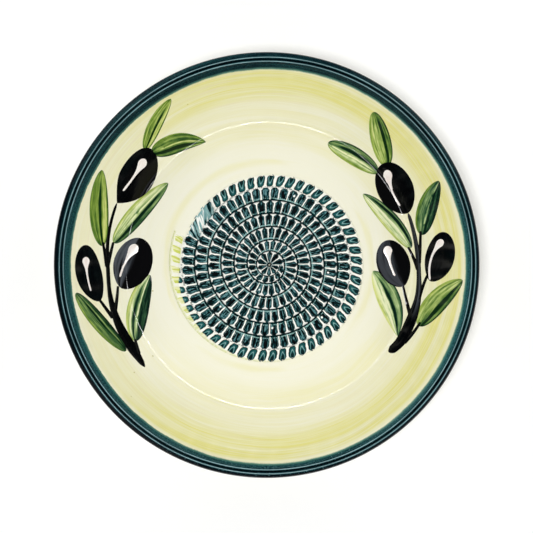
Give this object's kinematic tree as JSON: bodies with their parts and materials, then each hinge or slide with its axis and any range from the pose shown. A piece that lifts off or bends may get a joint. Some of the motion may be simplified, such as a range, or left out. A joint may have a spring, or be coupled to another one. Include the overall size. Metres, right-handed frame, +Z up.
{
  "type": "grater bowl",
  "caption": "Shallow round hand-thrown ceramic bowl with a spiral of raised grating teeth in its floor, a beaded rim and a foot ring, for grating garlic or ginger by hand.",
  "frame": {"origin": "centre of the foot ring's flat face, on the table", "axes": "+Z up out of the bowl's mouth; the outer end of the grater's spiral lies towards -X, 161 degrees from +X"},
  "size_m": [0.2, 0.2, 0.046],
  "materials": {
    "bare_clay": "matte",
    "cream_glaze": "gloss",
    "teal_glaze": "gloss",
    "tooth_glaze": "gloss"
  },
  "bodies": {
    "root": {"bowl_shell": "bare_clay", "inside_glaze": "cream_glaze", "outside_glaze": "cream_glaze", "rim_band": "teal_glaze", "foot_ring": "bare_clay", "grater_turn_1": "tooth_glaze", "grater_turn_2": "tooth_glaze", "grater_turn_3": "tooth_glaze", "grater_turn_4": "tooth_glaze", "grater_turn_5": "tooth_glaze", "grater_turn_6": "tooth_glaze", "grater_turn_7": "tooth_glaze"}
  },
  "joints": []
}
